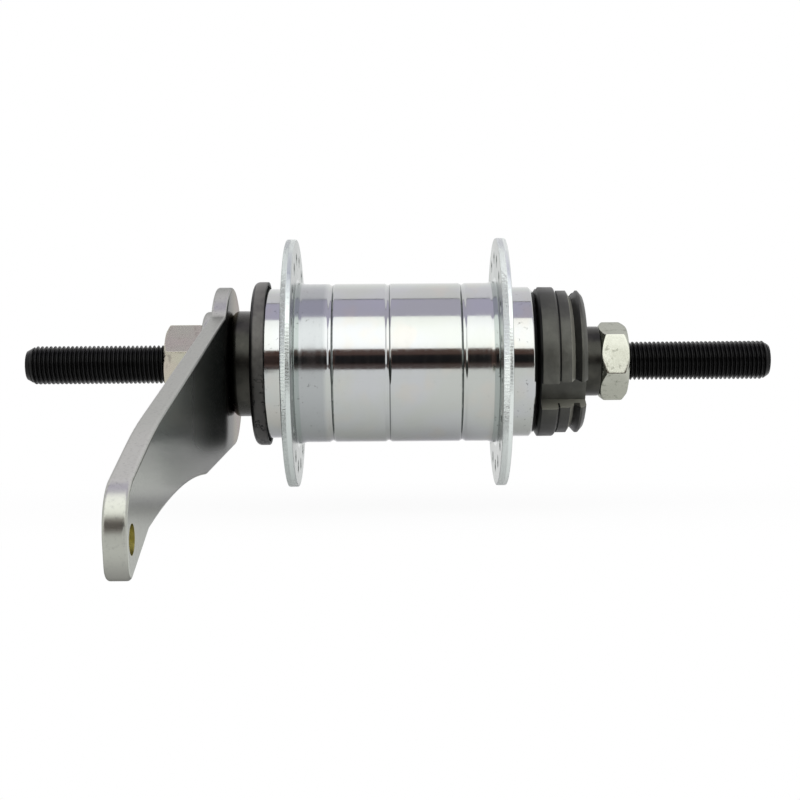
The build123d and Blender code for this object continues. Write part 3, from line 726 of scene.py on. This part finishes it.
DRIVER_EDGE_ROUND, DRIVER_EDGE_ANGLE = 0.12, 28
IN_SHELL, DRIVER_CHAMFER_END = 30, 34.3
DRIVER_CHAMFER_INNER = 15.5
DRIVER_RING, DRIVER_RING_END = 18.33, 38.3
RING_CORNER, RING_CORNER_CUTS = 0.8, (0.75, 0.5, 0.25, 0.1)
CORNER_REACH, RING_MARGIN = 0.98, 0.05
UNDERCUT_END, SEAT_END, GROOVE_BOTTOM, GROOVE_END, LIP_END = 38.7, 41.1, 42.1, 43.1, 44.0
LIP_EDGE = 43.5
SLOT_FLOOR = 13.4
SLOT_ANGLES = (-29, 91, 211)
SLOT_WIDTH = 6.7
SOFT_EDGE = 0.03

driver_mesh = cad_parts["driver"].data.copy()
work = bmesh.new()
work.from_mesh(driver_mesh)
bmesh.ops.remove_doubles(work, verts=work.verts, dist=SAME_POINT)
for back in RING_CORNER_CUTS:
    station = (DRIVER_RING_END - back * RING_CORNER) * MM
    everything = work.verts[:] + work.edges[:] + work.faces[:]
    bmesh.ops.bisect_plane(work, geom=everything, plane_co=(0, station, 0), plane_no=(0, 1, 0), dist=1e-7)
bmesh.ops.recalc_face_normals(work, faces=work.faces)
work.to_mesh(driver_mesh)
work.free()


def refine_profile(mesh):
    """Lean the snap-ring groove's far wall out to the lip's edge, its stations stretched in proportion,
    and bring the ring's outer corner in to a quarter round: R - c + c root(1 - u squared), with u from 0
    to nearly 1 over the corner."""
    points = np.empty(3 * len(mesh.vertices))
    mesh.vertices.foreach_get("co", points)
    points = points.reshape(-1, 3)
    station = points[:, 1] / MM
    u = np.clip((station - DRIVER_RING_END + RING_CORNER) / RING_CORNER, 0, CORNER_REACH)
    limit = DRIVER_RING - RING_CORNER + RING_CORNER * np.sqrt(1 - u**2)
    limit = np.where(station > DRIVER_RING_END + RING_MARGIN, DRIVER_RING, limit)
    radius = np.maximum(np.hypot(points[:, 0], points[:, 2]) / MM, 1e-6)
    leaned = np.interp(station, (GROOVE_BOTTOM, GROOVE_END, LIP_END), (GROOVE_BOTTOM, LIP_EDGE, LIP_END))
    on_wall = (station > GROOVE_BOTTOM) & (station < LIP_END) & (radius > SLOT_FLOOR)
    points[:, 1] = np.where(on_wall, leaned, station) * MM
    points[:, [0, 2]] *= np.minimum(1, limit / radius)[:, None]
    mesh.vertices.foreach_set("co", points.ravel())
    mesh.update()


refine_profile(driver_mesh)
driver = bpy.data.objects.new("driver_body", driver_mesh)
bpy.context.scene.collection.objects.link(driver)
broken_edges = driver.modifiers.new("broken_edges", "BEVEL")
broken_edges.width = DRIVER_EDGE_ROUND * MM
broken_edges.segments = 2
broken_edges.limit_method = "ANGLE"
broken_edges.angle_limit = radians(DRIVER_EDGE_ANGLE)
broken_edges.use_clamp_overlap = True
broken_edges.harden_normals = True
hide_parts("driver")
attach(driver, "driver_unit")

gunmetal = Finish("gunmetal", metallic=0.25)
along, upward = gunmetal.axis("Y"), gunmetal.axis("Z")
outside = gunmetal.step(gunmetal.radius(), (DRIVER_CHAMFER_INNER - 0.2) * MM, DRIVER_CHAMFER_INNER * MM)


def between(start, end):
    """1 at the stations from start to end, with a soft edge of a few hundredths at both."""
    rising = gunmetal.step(along, (start - SOFT_EDGE) * MM, start * MM)
    return rising * gunmetal.step(along, end * MM, (end - SOFT_EDGE) * MM)


def reach(x, z):
    """Distance from the axle's line along the direction x, z, as their dot product, in metres."""
    sockets = {0: gunmetal.place, 1: (x, 0, z)}
    return gunmetal.add("ShaderNodeVectorMath", {"operation": "DOT_PRODUCT"}, sockets, "Value")


# The chamfer where the driver enters the shell is near black.
dark_chamfer = between(IN_SHELL, DRIVER_CHAMFER_END) * outside
shaded = (between(DRIVER_RING_END, UNDERCUT_END) + between(GROOVE_BOTTOM, LIP_EDGE) * 0.85) * outside
# Painted light: the snap-ring groove's left flank and the lower wall of each slot are lighter.
painted_light = between(SEAT_END, GROOVE_BOTTOM) * outside
for turn in np.radians(SLOT_ANGLES):
    depth, offset = reach(cos(turn), sin(turn)), reach(-sin(turn), cos(turn))
    near_wall = gunmetal.step(abs(offset + SLOT_WIDTH / 2 * MM), 0.10 * MM, 0.04 * MM)
    painted_light = near_wall * gunmetal.step(depth, 8 * MM, 9 * MM) + painted_light
heat = gunmetal.noise(260, detail=4, rough=0.6)
grain = gunmetal.noise(1900, detail=2)
# Painted shade: the driver is darker towards its top and bottom.
top_bottom_shade = gunmetal.step(abs(upward), 8 * MM, 17 * MM)
skin = gunmetal.blend(gunmetal.step(heat, 0.35, 0.68), (0.078, 0.079, 0.069), (0.108, 0.110, 0.095))
skin = gunmetal.blend(top_bottom_shade * 0.85, skin, (0.030, 0.030, 0.029))
skin = gunmetal.blend(painted_light, skin, (0.26, 0.26, 0.22))
gunmetal.feed(
    Base_Color=gunmetal.blend(dark_chamfer + shaded, skin, (0.004, 0.004, 0.004)),
    Roughness=gunmetal.step(heat, 0.3, 0.7, 0.34, 0.44),
    Normal=gunmetal.bump(grain, 0.000018, 0.6),
    Specular_IOR_Level=0.22,
)
dress(gunmetal, driver, "driver_dust_cap")


# Brake works
# The clutch cone runs on the driver's screw between the shell's taper and the two shoes, which it
# spreads against the expander. All of it is hardened steel, ground where it bears, greased and out of
# sight in the shell.

works = Finish("ground_steel")
ground = works.noise((50, 4000, 50), detail=2)
works.feed(
    Base_Color=works.blend(works.step(ground, 0.3, 0.7), (0.40, 0.40, 0.39), (0.47, 0.46, 0.45)),
    Roughness=works.step(ground, 0.3, 0.7, 0.22, 0.34),
    Normal=works.bump(ground, 0.000003, 0.6),
)
dress(works, "clutch_cone", "brake_expander", "left_bearing_cup", "right_bearing_cup")

lining = Finish("worn_shoe_steel")
wear = lining.noise((120, 1400, 120), detail=3)
lining.feed(
    Base_Color=lining.blend(wear, (0.20, 0.17, 0.13), (0.36, 0.31, 0.24)),
    Roughness=lining.step(wear, 0.3, 0.7, 0.35, 0.50),
    Normal=lining.bump(wear, 0.00002, 0.5),
)
dress(lining, "brake_shoe_upper", "brake_shoe_lower")


# Bearings
# Three rows of balls, 1/4 inch in the shell and 3/16 inch in the driver, each held apart by a crown cage
# pressed from sheet. The retarder spring in the clutch cone's groove is the same plain spring steel.

ball_steel = Finish("polished_ball_steel")
smear = ball_steel.noise(700, detail=2)
ball_steel.feed(Base_Color=(0.74, 0.74, 0.75, 1), Roughness=ball_steel.step(smear, 0.3, 0.8, 0.04, 0.12))
dress(ball_steel, "left_bearing_balls", "right_bearing_balls", "driver_bearing_balls")

spring_steel = Finish("spring_steel")
drawn = spring_steel.noise((300, 2400, 300), detail=2)
spring_steel.feed(
    Base_Color=spring_steel.blend(drawn, (0.34, 0.34, 0.36), (0.46, 0.45, 0.44)),
    Roughness=spring_steel.step(drawn, 0.3, 0.7, 0.20, 0.34),
)
dress(spring_steel, "left_ball_cage", "right_ball_cage", "driver_ball_cage", "retarder_spring")


# Camera
# It looks square at the axle from 357 mm in front and a little below, level but for half a degree of
# roll. The focal length in pixels is that of an 800 pixel frame.

CAMERA_DISTANCE = 356.7
CAMERA_HEIGHT = -9.2
FOCAL_PIXELS = 1450.0
FRAME_PIXELS = 800.0
CENTRE_PIXEL = 397.0
ROLL = 0.45

lens = bpy.data.cameras.new("camera")
lens.sensor_width = 36.0
lens.lens = FOCAL_PIXELS / FRAME_PIXELS * lens.sensor_width
lens.shift_x = (FRAME_PIXELS / 2 - CENTRE_PIXEL) / FRAME_PIXELS
lens.clip_start, lens.clip_end = 0.01, 20.0
camera = bpy.data.objects.new("camera", lens)
bpy.context.scene.collection.objects.link(camera)
looking = Matrix(((0, 0, 1), (1, 0, 0), (0, 1, 0))).to_4x4()
camera.matrix_world = (
    Matrix.Translation((CAMERA_DISTANCE * MM, 0, CAMERA_HEIGHT * MM))
    @ looking
    @ Matrix.Rotation(radians(-ROLL), 4, "Z")
)
bpy.context.scene.camera = camera


# Studio
# A white floor and white surroundings, a soft box in front and above, a pale lilac panel overhead,
# and the dark room behind the camera, which shows in the barrel as the dark band. Sizes are in metres.

STUDIO_LENGTH = 1.4
CEILING = 0.5
SOFT_BOX_LOW, SOFT_BOX_HIGH = 18.0, 67.0
SOFT_BOX_REACH = 0.6
LAMP_HEIGHT, LAMP_CORE, LAMP_SPREAD, OFF_LAMP_SHARE = 0.33, 0.04, 0.24, 0.86
LILAC_FRONT, LILAC_BACK, BACK_PANEL_FRONT, BACK_PANEL_BACK = 0.212, -0.0945, -0.107, -0.5
FLOOR_GAP, FLOOR_REACH = 0.0005, 4.0
SHADOW_REACH = 0.12
DARK_ROOM_START, DARK_ROOM_WALL = 0.197, 0.60
WORLD_LIGHT = 0.55


def stage_sheet(name, section, length):
    """Sheet of straight panels through points of x and z, drawn out along Y."""
    x, z = np.array(section).T
    corners = np.array([[(a, side * length / 2, b) for a, b in zip(x, z)] for side in (-1, 1)])
    count = len(section)
    quads = [(i, i + 1, count + i + 1, count + i) for i in range(count - 1)]
    mesh = bpy.data.meshes.new(name)
    mesh.from_pydata(corners.reshape(-1, 3), [], quads)
    sheet = bpy.data.objects.new(name, mesh)
    bpy.context.scene.collection.objects.link(sheet)
    sheet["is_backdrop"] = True
    return sheet


def glowing_sheet(name, section, colour, lamp=None):
    """Sheet that shines with its colour, hidden from the camera. It is brightest about the height of its
    lamp, and evenly bright without one."""
    sheet = stage_sheet(name, section, STUDIO_LENGTH)
    silk = Finish(name, metallic=0.0)
    glow = (*colour, 1)
    if lamp is not None:
        near_lamp = silk.step(abs(silk.axis("Z") - lamp), LAMP_SPREAD, LAMP_CORE)
        glow = silk.blend(near_lamp, [OFF_LAMP_SHARE * part for part in colour], colour)
    silk.feed(Base_Color=(0, 0, 0, 1), Specular_IOR_Level=0, Emission_Color=glow, Emission_Strength=1.0)
    dress(silk, sheet)
    sheet.visible_camera = False


def around(elevation, distance):
    """Point of the section at an elevation as seen from the axle."""
    return (distance * cos(radians(elevation)), distance * sin(radians(elevation)))


def overhead(front, back):
    """Section of a level panel at the ceiling."""
    return [(front, CEILING), (back, CEILING)]


def ray(nodes, kind):
    """1 for rays of a kind, such as Camera, and 0 for all others."""
    return nodes.add("ShaderNodeLightPath", {}, {}, f"Is {kind} Ray")


box_edges = (around(SOFT_BOX_LOW, SOFT_BOX_REACH), around(SOFT_BOX_HIGH, SOFT_BOX_REACH))
glowing_sheet("soft_box", box_edges, (1.93, 1.93, 1.90), lamp=LAMP_HEIGHT)
glowing_sheet("lilac_panel", overhead(LILAC_FRONT, LILAC_BACK), (0.66, 0.625, 0.765))
glowing_sheet("panel_gap", overhead(LILAC_BACK, BACK_PANEL_FRONT), (0.05, 0.05, 0.05))
glowing_sheet("back_panel", overhead(BACK_PANEL_FRONT, BACK_PANEL_BACK), (0.98, 0.955, 0.985))

# The paper shows white to the camera and in reflections, a little less in the shadow under the hub.
floor_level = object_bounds()[0].z - FLOOR_GAP
floor = stage_sheet("floor", [(-FLOOR_REACH, floor_level), (FLOOR_REACH, floor_level)], 2 * FLOOR_REACH)
paper = Finish("white_paper", metallic=0.0)
paper.feed(Base_Color=(0.80, 0.80, 0.80, 1), Roughness=0.9)
near = paper.step(paper.length((1, 0.6, 0), (0.03, 0, 0)), SHADOW_REACH, 0.0)
mirrored = ray(paper, "Glossy") + ray(paper, "Transmission")
share = ray(paper, "Camera") * (1 - near * 0.07) + mirrored * (1 - near * near * 0.95)
glow = paper.add("ShaderNodeEmission", {}, {})
lit = Value(paper, paper.shader.outputs[0])
mixed = paper.add("ShaderNodeMixShader", {}, {0: share, 1: lit, 2: glow})
paper.fill(paper.find("OUTPUT_MATERIAL").inputs["Surface"], mixed)
dress(paper, floor)

wall_top = DARK_ROOM_WALL * tan(radians(SOFT_BOX_LOW))
room_floor = floor_level + FLOOR_GAP
room = [(DARK_ROOM_START, room_floor), (DARK_ROOM_WALL, room_floor), (DARK_ROOM_WALL, wall_top)]
dark_room = stage_sheet("dark_room", room, STUDIO_LENGTH)
black_cloth = Finish("black_cloth", metallic=0.0)
sideways, upward = black_cloth.axis("Y"), black_cloth.axis("Z")
brown_top = black_cloth.step(upward, 0.09, 0.11)
brown_side = black_cloth.step(sideways, -0.055, -0.075) * 0.5
brown_side = brown_side + black_cloth.step(upward, -0.01, -0.035) * 0.3
brown = black_cloth.math("MAXIMUM", brown_top, brown_side)
black_cloth.feed(
    Base_Color=black_cloth.blend(brown, (0.006, 0.006, 0.008), (0.17, 0.095, 0.075)),
    Roughness=0.9,
)
dress(black_cloth, dark_room)
dark_room.visible_camera = False

world = bpy.data.worlds.new("white_room")
bpy.context.scene.world = world
air = Nodes(world)
shown = air.math("MAXIMUM", ray(air, "Camera"), ray(air, "Glossy"))
strength = air.add("ShaderNodeMapRange", {}, {"Value": shown, "To Min": WORLD_LIGHT, "To Max": 1.0})
background = air.find("BACKGROUND")
air.fill(background.inputs["Color"], (1, 1, 1, 1))
air.fill(background.inputs["Strength"], strength)

bpy.context.scene.view_settings.view_transform = "Standard"
